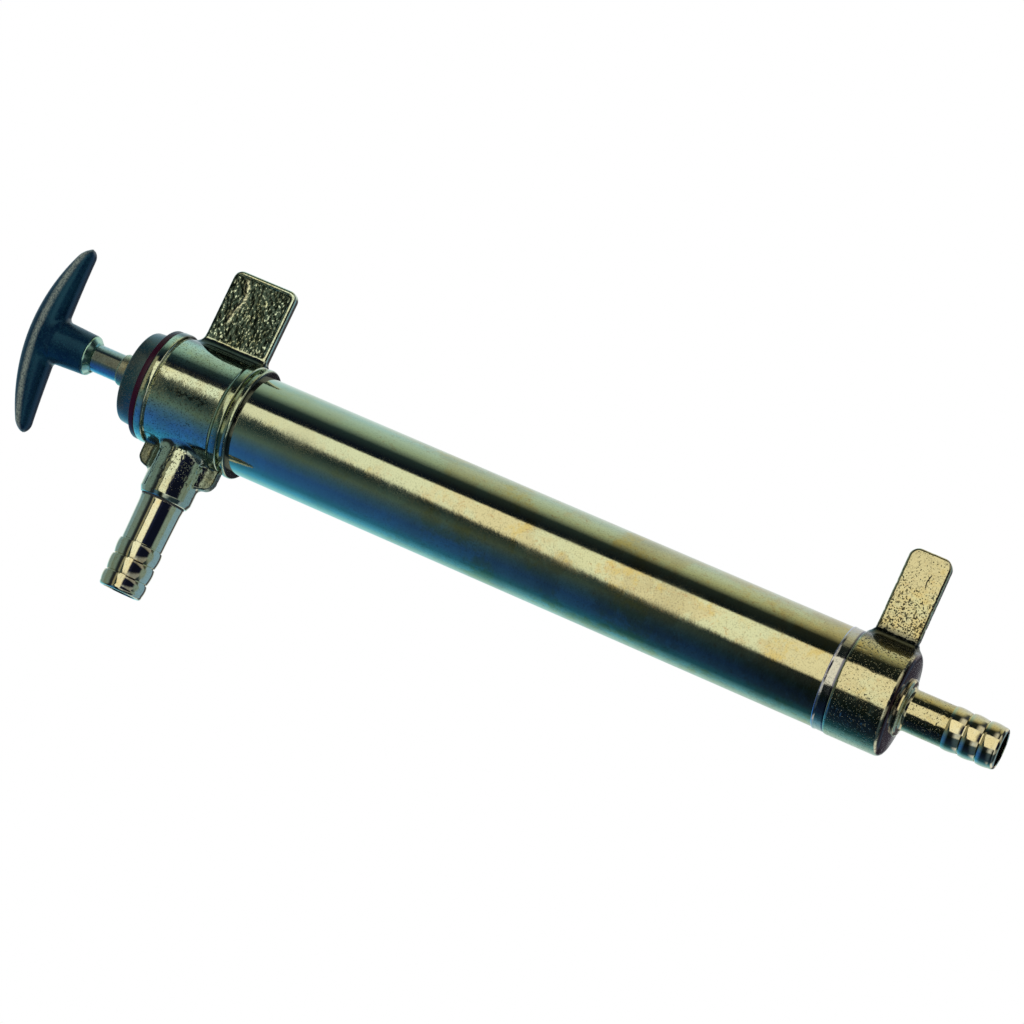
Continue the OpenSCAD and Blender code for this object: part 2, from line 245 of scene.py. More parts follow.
def net_points(values):
    """One point for each grid cell that the surface crosses, in cells, and each cell's point number."""
    shape = np.array(values.shape) - 1
    total, count = np.zeros((*shape, 3), np.float32), np.zeros(shape, np.float32)

    def at_corner(corner):
        return values[tuple(slice(corner[k], corner[k] + shape[k]) for k in range(3))]

    for axis in range(3):
        first, second = [k for k in range(3) if k != axis]
        for da, db in ((0, 0), (0, 1), (1, 0), (1, 1)):
            start = [0, 0, 0]
            start[first], start[second] = da, db
            end = list(start)
            end[axis] = 1
            va, vb = at_corner(start), at_corner(end)
            crossed = (va < 0) != (vb < 0)
            t = np.where(crossed, va / np.where(crossed, va - vb, 1), 0)
            for k in range(3):
                total[..., k] += np.where(crossed, t if k == axis else start[k], 0)
            count += crossed
    active = count > 0
    number = np.full(shape, -1)
    number[active] = np.arange(active.sum())
    return np.argwhere(active) + total[active] / count[active][:, None], number


def net_quads(solid, number):
    """A quad round each grid edge that the surface crosses, facing out of the solid."""
    quads = []
    for axis in range(3):
        u, v = (axis + 1) % 3, (axis + 2) % 3
        near = [slice(1, -1)] * 3
        near[axis] = slice(0, -1)
        far = list(near)
        far[axis] = slice(1, None)
        here, there = solid[tuple(near)], solid[tuple(far)]
        for flip, where in ((False, here & ~there), (True, ~here & there)):
            at = np.argwhere(where)
            at[:, u] += 1
            at[:, v] += 1
            ring = []
            for du, dv in ((-1, -1), (0, -1), (0, 0), (-1, 0)):
                cell = at.copy()
                cell[:, u] += du
                cell[:, v] += dv
                ring.append(number[cell[:, 0], cell[:, 1], cell[:, 2]])
            ring = np.stack(ring, -1)
            quads.append(ring[:, ::-1] if flip else ring)
    return np.concatenate(quads)


def slope_of(field, points, h=0.02):
    """The field and its unit gradient at points."""
    value = field(*points.T)
    steps = np.eye(3) * h
    slope = np.stack([field(*(points + d).T) - field(*(points - d).T) for d in steps], -1)
    return value, slope / np.maximum(np.linalg.norm(slope, axis=1), 1e-9)[:, None]


# ---------------- noise for cast skins

def scattered(ix, iy, iz, seed):
    """A repeatable number from 0 to 1 for each lattice point, by mixing its bits."""
    h = (ix * 73856093) ^ (iy * 19349663) ^ (iz * 83492791) ^ (seed * 97531)
    h = ((h ^ (h >> 13)) * 1274126177) & 0x7FFFFFFF
    h = ((h ^ (h >> 11)) * 668265263) & 0x7FFFFFFF
    return (h & 0xFFFF) / 65535.0


def smooth_noise(points, size, seed=0):
    """Smooth noise from -1 to 1 with lumps of that size in mm."""
    p = np.asarray(points) / size
    base = np.floor(p).astype(np.int64)
    f = p - base
    f = f * f * (3 - 2 * f)
    total = 0
    for dx in (0, 1):
        for dy in (0, 1):
            for dz in (0, 1):
                corner = np.array([dx, dy, dz])
                weight = np.prod(np.abs(1 - corner - f), axis=1)
                total = total + weight * scattered(*(base + corner).T, seed)
    return total * 2 - 1


def step_up(x, a, b):
    """0 before a, 1 after b and smooth between them."""
    t = np.clip((x - a) / (b - a), 0, 1)
    return t * t * (3 - 2 * t)


# ---------------- materials

class Nodes:
    """A short way to write a node tree."""

    def __init__(self, tree, place="Object"):
        self.tree = tree
        self.place = tree.nodes.new("ShaderNodeTexCoord").outputs[place]

    def add(self, kind, **values):
        """A new node, with values for its settings or for its inputs."""
        node = self.tree.nodes.new(kind)
        for key, value in values.items():
            if hasattr(node, key):
                setattr(node, key, value)
            else:
                self.join(value, node.inputs[key.replace("_", " ")])
        return node

    def join(self, value, socket):
        """Links a socket to an input, or sets the input to a constant."""
        if isinstance(value, bpy.types.NodeSocket):
            self.tree.links.new(value, socket)
        else:
            socket.default_value = value

    def noise(self, scale, detail=4.0, rough=0.55, place=None):
        """Noise from 0 to 1, with that many lumps to the metre."""
        node = self.add("ShaderNodeTexNoise", Scale=scale, Detail=detail, Roughness=rough)
        self.join(place or self.place, node.inputs["Vector"])
        return node.outputs["Fac"]

    def stretched(self, x, y, z):
        """The place, scaled along each axis."""
        node = self.add("ShaderNodeMapping")
        self.join(self.place, node.inputs["Vector"])
        node.inputs["Scale"].default_value = (x, y, z)
        return node.outputs["Vector"]

    def shifted(self, amount):
        """The place, moved so that a second noise differs from the first."""
        node = self.add("ShaderNodeMapping")
        self.join(self.place, node.inputs["Vector"])
        node.inputs["Location"].default_value = (amount, -amount, 0.5 * amount)
        return node.outputs["Vector"]

    def axis(self, name):
        """X, Y or Z in the part's frame."""
        node = self.add("ShaderNodeSeparateXYZ")
        self.join(self.place, node.inputs[0])
        return node.outputs[name]

    def along(self, axis, a, b, low_value, high_value):
        """A ramp along one axis of the part's frame, between two places in mm."""
        return self.ramp(self.axis(axis), a * MM, b * MM, low_value, high_value)

    def ramp(self, value, *stops):
        """A value mapped between (from, from, to, to) stops, smoothly unless a fifth stop says how."""
        node = self.add("ShaderNodeMapRange")
        node.interpolation_type = stops[4] if len(stops) > 4 else "SMOOTHSTEP"
        self.join(value, node.inputs["Value"])
        for socket, number in zip(("From Min", "From Max", "To Min", "To Max"), stops):
            node.inputs[socket].default_value = number
        return node.outputs["Result"]

    def math(self, operation, a, b=0.0):
        """The result of a sum on one or two values."""
        node = self.add("ShaderNodeMath", operation=operation)
        self.join(a, node.inputs[0])
        self.join(b, node.inputs[1])
        return node.outputs[0]

    def mix(self, share, a, b):
        """Colour a, with a share of colour b."""
        node = self.add("ShaderNodeMix", data_type="RGBA")
        self.join(share, node.inputs["Factor"])
        for value, socket in ((a, node.inputs[6]), (b, node.inputs[7])):
            self.join(value if isinstance(value, bpy.types.NodeSocket) else (*value, 1.0), socket)
        return node.outputs[2]

    def bump(self, height, strength, distance, normal=None):
        """A normal tilted by a height in metres, on top of another normal."""
        node = self.add("ShaderNodeBump", Strength=strength, Distance=distance)
        self.join(height, node.inputs["Height"])
        if normal is not None:
            self.join(normal, node.inputs["Normal"])
        return node.outputs["Normal"]


def new_material(name):
    """A material with an empty node tree, and the writer for that tree."""
    material = bpy.data.materials.new(name)
    material.use_nodes = True
    material.node_tree.nodes.clear()
    return material, Nodes(material.node_tree)


def finish_material(material, n, **values):
    """Joins the values to a Principled shader and returns the material."""
    shader, out = n.add("ShaderNodeBsdfPrincipled"), n.add("ShaderNodeOutputMaterial")
    for key, value in values.items():
        n.join(value, shader.inputs[key.replace("_", " ")])
    n.join(shader.outputs[0], out.inputs["Surface"])
    return material


def tinted(colour, *shares):
    """A colour with its three parts scaled."""
    return tuple(c * share for c, share in zip(colour, shares))


def tarnish(n, bright, dull, patch, dirt):
    """Colour of old bronze, with its stains and specks as masks."""
    stain = n.math("MULTIPLY", n.ramp(n.noise(30.0, 5.0, 0.6), 0.44, 0.64, 0, 1), patch)
    warm = n.ramp(n.noise(34.0, 5.0, 0.75, n.shifted(0.3)), 0.50, 0.60, 0, 0.85 * patch)
    pale = n.ramp(n.noise(26.0, 5.0, 0.70, n.shifted(0.7)), 0.49, 0.58, 0, 0.90 * patch)
    rust = n.ramp(n.noise(420.0, 3.0, 0.7, n.shifted(2.1)), 0.60, 0.68, 0, 0.5 * patch)
    speck = n.ramp(n.noise(1500.0, 2.0, 0.6), 0.52, 0.66, 0, 1)
    colour = n.mix(n.math("MULTIPLY", stain, 0.4), bright, dull)
    colour = n.mix(warm, colour, tinted(bright, 1.00, 0.86, 0.55))
    colour = n.mix(pale, colour, tinted(bright, 0.98, 1.14, 1.28))
    colour = n.mix(rust, colour, tinted(bright, 0.75, 0.50, 0.35))
    colour = n.mix(n.math("MULTIPLY", speck, dirt), colour, tinted(dull, 0.35, 0.35, 0.35))
    return colour, stain, speck


def pitting(n, mask, colour, dull, roughness, normal):
    """Small dark casting pits, as many as the mask asks for, laid over a metal."""
    where = n.math("MULTIPLY", n.math("SUBTRACT", mask, 1.0), 0.14)
    spots = n.math("ADD", n.noise(1250.0, 2.5, 0.55, n.shifted(1.3)), where)
    spots = n.ramp(spots, 0.53, 0.60, 0, 1)
    colour = n.mix(n.math("MULTIPLY", spots, 0.92), colour, tinted(dull, 0.10, 0.10, 0.10))
    roughness = n.math("ADD", roughness, n.math("MULTIPLY", spots, 0.3))
    return colour, roughness, n.bump(n.math("SUBTRACT", 1.0, spots), 1.0, 0.05 * MM, normal)


def bronze(name, bright, dull, patch, rough, wave=0.02, grain=0.002, dirt=0.3,
           pits=None, shades=(), draw=0.0):
    """Tarnished bronze; wave and grain are its coarse and fine unevenness in mm, draw its drawing
    lines' strength, pits a mask's maker and shades pairs of a mask's maker and a colour."""
    material, n = new_material(name)
    colour, stain, speck = tarnish(n, bright, dull, patch, dirt)
    roughness = n.math("ADD", n.math("MULTIPLY", n.math("ADD", stain, speck), 0.05), rough)
    normal = n.bump(n.noise(150.0, 3.0, 0.5), 1.0, wave * MM)
    normal = n.bump(n.noise(1100.0, 2.0, 0.6), 1.0, grain * MM, normal)
    if draw:
        lines = n.noise(900.0, 2.0, 0.5, n.stretched(1.0, 1.0, 0.02))
        normal = n.bump(lines, draw, 0.02 * MM, normal)
    if pits is not None:
        colour, roughness, normal = pitting(n, pits(n), colour, dull, roughness, normal)
    for shade, tone in shades:
        colour = n.mix(shade(n), colour, tone)
    return finish_material(
        material, n, Base_Color=colour, Metallic=1.0, Roughness=roughness, Normal=normal)


def moulded(name, colour, second, rough, grain, grain_scale,
            gloss=0.5, sheen=(1, 1, 1), shades=()):
    """Moulded plastic, rubber or fibre, with a fine grain and worn patches."""
    material, n = new_material(name)
    worn = n.ramp(n.noise(55.0, 4.0, 0.6), 0.40, 0.66, 0.0, 1.0)
    speck = n.ramp(n.noise(grain_scale * 0.8, 2.0, 0.7), 0.50, 0.62, 0.0, 1.0)
    tint = n.mix(n.math("MULTIPLY", worn, 0.5), colour, second)
    tint = n.mix(n.math("MULTIPLY", speck, 0.5), tint, second)
    for shade, tone in shades:
        tint = n.mix(shade(n), tint, tone)
    normal = n.bump(n.noise(grain_scale, 2.0, 0.6), 1.0, grain * MM)
    roughness = n.math("ADD", n.math("MULTIPLY", speck, 0.10), rough)
    return finish_material(
        material, n, Base_Color=tint, Roughness=roughness, Normal=normal, Specular_IOR_Level=gloss,
        Specular_Tint=(*sheen, 1.0))


def near_root(inner, outer, start, end):
    """Mask of painted shade over a lug's root, rising from inner to outer and gone from start to end, in
    mm on X.
    """
    def mask(n):
        return n.math("MULTIPLY", n.along("X", end, start, 0, 0.9), n.along("X", inner, outer, 0, 1))
    return mask


def foot_pits(n):
    """Mask of the casting pits, thickest on the lug towards its root."""
    lug = n.math("MULTIPLY", n.along("X", 66, 36, 0.35, 1.0), n.along("X", 26, 32, 0, 1))
    body = n.math("MULTIPLY", n.along("X", 9, 20, 0, 0.85), n.along("X", 28, 24, 0, 1))
    return n.math("MAXIMUM", n.math("MAXIMUM", lug, body), 0.35)


def face_band(n):
    """Mask over the foot's end face, which is darker and red-brown."""
    upper = n.along("Z", FOOT_END + 1.5, FOOT_END + 0.8, 0, 0.97)
    return n.math("MULTIPLY", upper, n.along("Z", FOOT_END - 1.2, FOOT_END - 0.8, 0, 1))


def crest(n):
    """Mask along the tall crease on the front of the head lug, painted bright there as a highlight."""
    wander = n.math("SUBTRACT", n.axis("X"), CREASE_X * MM)
    wander = n.math("SINE", n.math("MULTIPLY", wander, 1 / (CREASE_BEND * MM)))
    off = n.math("SUBTRACT", n.axis("Z"), n.math("MULTIPLY", wander, CREASE_SWING * MM))
    jitter = n.math("MULTIPLY", n.math("SUBTRACT", n.noise(420.0, 2.0), 0.5), 5 * MM)
    off = n.math("SUBTRACT", n.math("ADD", off, jitter), CREASE_Z * MM)
    near = n.ramp(n.math("ABSOLUTE", off), 0.4 * MM, 1.7 * MM, 0.85, 0)
    ends = n.math("MULTIPLY", n.along("X", 39, 44, 0, 1), n.along("X", 66, 62, 0, 1))
    worn = n.math("MULTIPLY", ends, n.ramp(n.noise(650.0, 3.0, 0.65), 0.42, 0.54, 0.15, 1))
    return n.math("MULTIPLY", n.math("MULTIPLY", near, worn), n.along("Y", -1, -2, 0, 1))


def cold_shut(n):
    """Mask of the dark wavy flaw in the casting's skin that runs along the front of the head."""
    wander = n.math("MULTIPLY", n.math("SUBTRACT", n.noise(420.0, 3.0, 0.65), 0.5), 12 * MM)
    off = n.math("ADD", n.math("ADD", n.axis("X"), 2.4 * MM), wander)
    near = n.ramp(n.math("ABSOLUTE", off), 0.5 * MM, 1.4 * MM, 0.80, 0)
    ends = n.math("MULTIPLY", n.along("Z", HEAD_Z + 9, HEAD_Z + 13, 0, 1),
                  n.along("Z", HEAD_Z + 34, HEAD_Z + 31, 0, 1))
    broken = n.ramp(n.noise(260.0, 2.0), 0.32, 0.52, 0, 1)
    here = n.math("MULTIPLY", ends, n.along("Y", -5, -9, 0, 1))
    return n.math("MULTIPLY", n.math("MULTIPLY", near, broken), here)


def lug_painted_shade(n):
    """Mask of painted shade over the crinkled skin of the head lug, leaving out small flecks except in
    broad patches.
    """
    lie = n.add("ShaderNodeMapping", Vector=n.place)
    lie.inputs["Rotation"].default_value = (0, math.radians(22), 0)
    lie.inputs["Scale"].default_value = (0.5, 1.0, 1.0)
    fine = n.ramp(n.noise(1150.0, 3.0, 0.6, lie.outputs["Vector"]), 0.55, 0.62, 1, 0)
    broad = n.ramp(n.noise(110.0, 2.0, 0.5), 0.42, 0.62, 0.62, 1.0)
    return n.math("MULTIPLY", n.math("MAXIMUM", fine, n.ramp(broad, 0.9, 1.0, 0, 0.8)), 0.95)


def slit_shade_mask(n):
    """Mask of the short casting flaw on the front of the foot lug, its narrow groove drawn as painted
    shade.
    """
    bent = n.math("MULTIPLY", n.math("ABSOLUTE", n.math("SUBTRACT", n.axis("X"), 57 * MM)), 0.22)
    off = n.math("ABSOLUTE", n.math("SUBTRACT", n.math("ADD", n.axis("Z"), bent), SLIT_Z * MM))
    from_middle = n.math("ABSOLUTE", n.math("SUBTRACT", n.axis("X"), 57.5 * MM))
    ends = n.ramp(from_middle, 3.0 * MM, 3.8 * MM, 1, 0)
    here = n.math("MULTIPLY", n.ramp(off, 0.15 * MM, 0.42 * MM, 0.97, 0), ends)
    return n.math("MULTIPLY", here, n.along("Y", -1, -2, 0, 1))


def grip_painted_highlight(n):
    """Mask along the grip's widest line, front and back, painted pale there as a highlight."""
    x = n.math("MULTIPLY", n.axis("X"), math.cos(HANDLE_TURN))
    y = n.math("MULTIPLY", n.axis("Y"), math.sin(HANDLE_TURN))
    along_bar = n.math("ADD", x, y)
    droop = n.math("MULTIPLY", n.math("MULTIPLY", along_bar, along_bar), 3.4)
    off = n.math("SUBTRACT", n.math("ADD", n.axis("Z"), droop), (HANDLE_TOP - 6.8) * MM)
    near = n.ramp(n.math("ABSOLUTE", off), 0.3 * MM, 2.6 * MM, 1, 0)
    return n.math("MULTIPLY", near, n.ramp(n.noise(1300.0, 2.0, 0.6), 0.36, 0.60, 0.25, 0.9))


def collar_underside_shade(n):
    """Mask of painted shade over the lock collar's lower face."""
    return n.along("Z", COLLAR_LOW + 0.5, COLLAR_LOW + 0.25, 0, 0.95)


GOLD = (0.60, 0.54, 0.33)
DULL = (0.34, 0.30, 0.18)
# colour of the painted shade round the lugs' roots, where they meet the body
ROOT_PAINTED_SHADE = (0.030, 0.042, 0.050)
END_FACE_MAROON = (0.035, 0.010, 0.018)
# colour of the painted shade in the slit on the foot lug
SLIT_PAINTED_SHADE = (0.01, 0.01, 0.01)
HEAD_ROOT_SHADE = near_root(22.5, 26, 28, 31.5)


def barrel_haze(n):
    """Mask that grows up the barrel, where the bronze is paler and greener."""
    return n.along("Z", 250, 385, 0, 0.55)


def braze_low(n):
    """Mask over the lower edge of the braze."""
    return n.along("Z", FOOT_TOP + 1.0, FOOT_TOP + 0.2, 0, 0.9)


def braze_high(n):
    """Mask over the bright upper part of the braze."""
    return n.along("Z", FOOT_TOP + 4.8, BRAZE_TOP, 0, 0.9)


MATERIALS = {
    "barrel_bronze": bronze(
        "barrel_bronze", (0.60, 0.55, 0.34), DULL, 0.9, 0.07, 0.03, 0.008, 0.30,
        shades=[(barrel_haze, (0.52, 0.60, 0.46))], draw=0.1),
    "cast_bronze": bronze(
        "cast_bronze", GOLD, DULL, 0.6, 0.07, 0.05, 0.009, 0.4, foot_pits,
        [(near_root(19, 24, 28, 33.5), ROOT_PAINTED_SHADE), (face_band, END_FACE_MAROON), (slit_shade_mask, SLIT_PAINTED_SHADE)]),
    "head_bronze": bronze(
        "head_bronze", (0.64, 0.68, 0.49), DULL, 0.5, 0.06, 0.04, 0.009, 0.75,
        shades=[(HEAD_ROOT_SHADE, ROOT_PAINTED_SHADE), (cold_shut, (0.02, 0.022, 0.02))]),
    # painted shade under the lock collar
    "rim_bronze": bronze(
        "rim_bronze", (0.46, 0.54, 0.38), DULL, 0.6, 0.09, 0.08, 0.010, 0.4,
        lambda n: n.along("Z", 0, 1, 0, 0.35), [(collar_underside_shade, (0.012, 0.012, 0.012))]),
    "boss_bronze": bronze(
        "boss_bronze", (0.62, 0.62, 0.44), DULL, 0.5, 0.08, 0.06, 0.010, 0.4,
        lambda n: n.along("X", -46, -34, 0.0, 0.55)),
    "ear_bronze": bronze(
        "ear_bronze", (0.27, 0.29, 0.21), (0.09, 0.10, 0.08), 0.7, 0.24, 0.10, 0.02, 0.6,
        lambda n: n.along("X", 0, -1, 0, 0.45)),
    # painted shade over the head lug's face, all but small flecks
    "lug_bronze": bronze(
        "lug_bronze", (0.74, 0.80, 0.58), (0.10, 0.12, 0.09), 0.4, 0.10, 0.10, 0.06, 0.4,
        # a painted highlight along the lug's crease
        shades=[(lug_painted_shade, (0.012, 0.030, 0.026)), (HEAD_ROOT_SHADE, ROOT_PAINTED_SHADE), (crest, (0.80, 0.78, 0.56))]),
    "tail_bronze": bronze("tail_bronze", (0.72, 0.67, 0.48), DULL, 0.5, 0.05, 0.03, 0.006, 0.3),
    "inner_brass": bronze("inner_brass", (0.78, 0.62, 0.30), (0.55, 0.42, 0.20), 0.5, 0.20),
    "bush_brass": bronze(
        "bush_brass", (0.62, 0.62, 0.46), (0.34, 0.28, 0.18), 0.7, 0.34, 0.05, 0.02, 0.5),
    "ferrule_brass": bronze(
        "ferrule_brass", (0.36, 0.58, 0.46), (0.30, 0.32, 0.20), 0.3, 0.16),
    "rod_bronze": bronze(
        "rod_bronze", (0.46, 0.50, 0.45), (0.34, 0.30, 0.24), 0.6, 0.13, 0.03, 0.008, 0.4, draw=0.1),
    "braze": bronze(
        "braze", (0.58, 0.56, 0.50), (0.26, 0.28, 0.36), 0.4, 0.10, 0.22, 0.03, 0.4,
        shades=[(braze_high, (0.62, 0.60, 0.80)), (braze_low, (0.10, 0.10, 0.16))]),
    "ring_steel": bronze("ring_steel", (0.62, 0.63, 0.65), (0.40, 0.40, 0.42), 0.5, 0.25),
    "gasket_rubber": moulded(
        "gasket_rubber", (0.020, 0.001, 0.006), (0.012, 0.001, 0.012), 0.26, 0.006, 1800.0, 0.22),
    "valve_rubber": moulded(
        "valve_rubber", (0.02, 0.02, 0.024), (0.05, 0.05, 0.05), 0.55, 0.01, 1500.0),
    "fibre_washer": moulded(
        "fibre_washer", (0.18, 0.05, 0.03), (0.10, 0.03, 0.02), 0.6, 0.01, 1500.0),
    "cap_plastic": moulded(
        "cap_plastic", (0.004, 0.020, 0.026), (0.046, 0.042, 0.026), 0.20, 0.012, 1500.0, 1.0,
        (0.6, 0.95, 1.0)),
    "cup_leather": moulded(
        "cup_leather", (0.20, 0.10, 0.045), (0.11, 0.05, 0.025), 0.55, 0.03, 900.0),
    # a painted highlight along the grip's ridge
    "handle_plastic": moulded(
        "handle_plastic", (0.0006, 0.006, 0.020), (0.003, 0.022, 0.036), 0.26, 0.060, 1000.0, 0.5,
        (0.25, 0.75, 1.0), [(grip_painted_highlight, (0.170, 0.188, 0.150))]),
}


# ---------------- turned pieces

def barb_bulge(t):
    """Share of a barb's height along it: steep from its root to its crest at PEAK, then a slow fall."""
    if t < PEAK:
        return 1 - ((t - PEAK) / PEAK) ** 2
    return 1 - 0.45 * ((t - PEAK) / (1 - PEAK)) ** 2


def tail_outline(crest, first, pitch, root):
    """A hose tail from its water way round its mouth to behind its third barb's step."""
    points = [(WATER_R, 0.3), (WATER_R + 0.3, 0.0)]
    points += [(crest - 1.8, 0.0), (crest - 1.2, 0.12), (crest - 0.8, 0.45), (crest - 0.6, 0.95)]
    start = 1.3
    for i in range(BARBS):
        step = first + i * pitch
        lowest = 0.35 if i == 0 else 0.0
        for t in np.linspace(0.0, 1.0, 14):
            r = root + (crest - root) * max(barb_bulge(t), lowest)
            points.append((r, start + (step - start) * t))
        points += [(root - 0.35, step + 0.12), (root - 0.35, step + 0.62)]
        start = step + 0.85
    return points


def make_barrel():
    """The tube, the braze at its foot and the lock collar below the head."""
    turned("barrel_shell", rounded([
        (BORE_R, FOOT_TOP, 0), (TUBE_R, FOOT_TOP, 0), (TUBE_R, TUBE_TOP, 0), (BORE_R, TUBE_TOP, 0)
    ]), "barrel_bronze", ["barrel_tube"])
    turned("braze_bead", rounded([
        (TUBE_R - 0.2, FOOT_TOP - 0.5, 0), (TUBE_R + 0.25, FOOT_TOP - 0.5, 0.2),
        (TUBE_R + 0.25, FOOT_TOP + 4.2, 1.5), (TUBE_R + 0.50, FOOT_TOP + 5.3, 0.5),
        (TUBE_R + 0.30, FOOT_TOP + 6.0, 0.3), (TUBE_R - 0.2, BRAZE_TOP, 0)
    ]), "braze", ["foot_braze_ring"], wobble=braze_ripple)
    turned("lock_collar", rounded([
        (TUBE_R, COLLAR_LOW, 0), (COLLAR_R, COLLAR_LOW, 1.3), (COLLAR_R, COLLAR_HIGH, 0.3),
        (TUBE_R, COLLAR_HIGH, 0)
    ]), "rim_bronze", ["tube_collar"], slot="head_bronze")


def braze_ripple(h, angle):
    """Uneven flow of the braze round the joint, in mm."""
    wave = 0.05 * np.sin(5 * angle + 0.7) + 0.04 * np.sin(11 * angle + 2 + h)
    wave = wave + 0.03 * np.sin(23 * angle + 2 * h)
    return wave * step_up(h, FOOT_TOP, FOOT_TOP + 1.5) * (1 - step_up(h, BRAZE_TOP - 1.2, BRAZE_TOP))


def make_inlet_tail():
    """The foot's barbs, and the stepped root where its tail meets the end face."""
    outline = tail_outline(INLET_CREST, 8.9, 8.6, INLET_CREST - 0.65)
    outline += [(9.6, 28.5), (WATER_R, 28.5)]
    turned("inlet_barbs", outline, "tail_bronze", ["foot_casting"])
    turned("inlet_root", rounded([
        (9.6, 44.9, 0), (INLET_NECK, 44.9, 0), (INLET_NECK, 46.9, 2.2), (13.2, 47.3, 0.5),
        (14.2, 48.2, 0.4), (14.2, 50.5, 0), (9.6, 50.5, 0)
    ], 8), "cast_bronze", ["foot_casting"])


def make_outlet_tail():
    """The barbed tail that screws into the boss, and its washer."""
    neck = BOSS_END + 0.8
    collar = OUTLET_REACH - neck
    end = OUTLET_REACH - 28
    outline = tail_outline(OUTLET_CREST, 7.5, 8.55, OUTLET_CREST - 0.7)
    outline += rounded([
        (10.5, 25.4, 0), (10.55, 31, 2), (10.85, collar - 3, 3), (11.1, collar - 0.8, 0.3),
        (11.1, collar, 0.15), (10.35, collar, 0), (10.35, end, 0), (WATER_R - 0.5, end, 0),
        (WATER_R - 0.5, collar, 0), (WATER_R, collar - 0.1, 0)
    ])
    outline = [(r, OUTLET_REACH - h) for r, h in outline]
    turned("outlet_barbs", outline, "tail_bronze", ["outlet_hose_tail"], "X", OUTLET_Z)
    turned("tail_washer", rounded([
        (10.4, BOSS_END, 0), (11.2, BOSS_END, 0.2), (11.2, neck, 0.2), (10.4, neck, 0)
    ]), "valve_rubber", ["outlet_washer"], "X", OUTLET_Z)


def make_head_rims():
    """The bead round the head's foot end and the flange under its cap."""
    bead_r = TUBE_R + 3.2
    turned("head_bead", rounded([
        (TUBE_R, HEAD_Z, 0), (bead_r, HEAD_Z, 0.9), (bead_r, HEAD_Z + 4.3, 0.9),
        (HEAD_R, HEAD_Z + 4.9, 2.2), (HEAD_R, HEAD_Z + 9, 0), (TUBE_R, HEAD_Z + 9, 0)
    ], 8), "rim_bronze", ["head_casting"], slot="head_bronze")
    turned("head_flange", rounded([
        (HEAD_R - 2, HEAD_Z + 37, 0), (HEAD_R, HEAD_Z + 37, 0), (HEAD_R, HEAD_Z + 39.6, 0.3),
        (HEAD_R - 0.35, HEAD_Z + 40.3, 0.3), (HEAD_R, HEAD_Z + 41.0, 0.2),
        (FLANGE_R, HEAD_Z + 41.3, 0.9), (FLANGE_R, FLANGE_TOP, 0.5), (HEAD_R - 2, FLANGE_TOP, 0)
    ], 6), "head_bronze", ["head_casting"])


def make_gland():
    """The red gasket, the cap and the bush that the rod slides in."""
    gasket_r = FLANGE_R - 0.3
    turned("red_gasket", rounded([
        (CAP_THREAD_R, FLANGE_TOP, 0), (gasket_r, FLANGE_TOP, 0.6), (gasket_r, CAP_LOW, 0.6),
        (CAP_THREAD_R, CAP_LOW, 0)
    ]), "gasket_rubber", ["cap_gasket"])
    deck = low("gland_cap")[2]
    seal_r, seal_top = high("rod_seal")[0], high("rod_seal")[2]
    turned("gland_cover", rounded([
        (seal_r, deck, 0), (CAP_THREAD_R, deck, 0), (CAP_THREAD_R, CAP_LOW, 0),
        (CAP_R + 0.9, CAP_LOW, 0.8), (CAP_R, CAP_TOP, 1.4), (9.2, CAP_TOP, 0.4),
        (8, CAP_TOP - 0.8, 0), (8, seal_top, 0), (seal_r, seal_top, 0)
    ]), "cap_plastic", ["gland_cap"])
    hole_r = ROD_R + 0.05
    turned("rod_bush", rounded([
        (hole_r, seal_top, 0), (8, seal_top, 0), (8, CAP_TOP - 0.5, 0), (8.9, CAP_TOP, 0.3),
        (8.45, CAP_TOP + 2.2, 1.5), (8.05, BUSH_TOP - 1.0, 1.0), (7.5, BUSH_TOP, 0.3),
        (hole_r, BUSH_TOP, 0.2)
    ]), "bush_brass", ["gland_bush"])


def make_rod():
    """The rod with its two thinner ends, and the ferrule under the grip."""
    bottom, top = low("pump_rod")[2], high("pump_rod")[2]
    shoulder = high("piston_body")[2] + 0.15
    turned("ground_rod", rounded([
        (0.01, bottom, 0), (ROD_END_R, bottom, 0.8), (ROD_END_R, shoulder, 0), (ROD_R, shoulder, 0.4),
        (ROD_R, FERRULE_LOW, 0.3), (ROD_END_R, FERRULE_LOW, 0), (ROD_END_R, top, 0.8), (0.01, top, 0)
    ]), "rod_bronze", ["pump_rod"], body="rod")
    turned("grip_ferrule", rounded([
        (ROD_END_R, FERRULE_LOW, 0), (ROD_R + 0.1, FERRULE_LOW, 0.1),
        (ROD_R + 0.9, FERRULE_LOW + 0.5, 0.3), (GRIP_R - 0.3, GRIP_LOW - 0.8, 0.4),
        (GRIP_R, GRIP_LOW, 0.1), (ROD_END_R, GRIP_LOW, 0)
    ]), "ferrule_brass", ["handle_ferrule"], body="rod")


# ---------------- castings

FOOT_OUTLINE = rounded([
    (0, 24.6, 0), (INLET_NECK, 24.6, 0), (INLET_NECK, 49.0, 0), (FOOT_R, FOOT_END, 3.0),
    (FOOT_R, FOOT_TOP, 1.1), (BORE_R - 0.02, FOOT_TOP, 0), (BORE_R - 0.02, SPIGOT_TOP, 0.4),
    (0, SPIGOT_TOP, 0)
])


def foot_field(x, y, z):
    """The foot from behind its barbs up, with its lug, water way and valve chamber."""
    r = np.hypot(x, y)
    body = outline_field(r, z, FOOT_OUTLINE)
    lug, _ = plate_field(x, y, z, LUG_START, FOOT_LUG_X, FOOT_LUG_LOW, FOOT_LUG_HIGH, 5.0, 1.4)
    solid = joined(body, lug, 5.0)
    solid = np.where(r < BORE_R + 0.3, body, solid)
    solid = cut(solid, r - WATER_R - 0.25 * np.clip(29.5 - z, 0, 1))
    return cut(solid, np.maximum(r - CHAMBER_R, CHAMBER_Z - z))


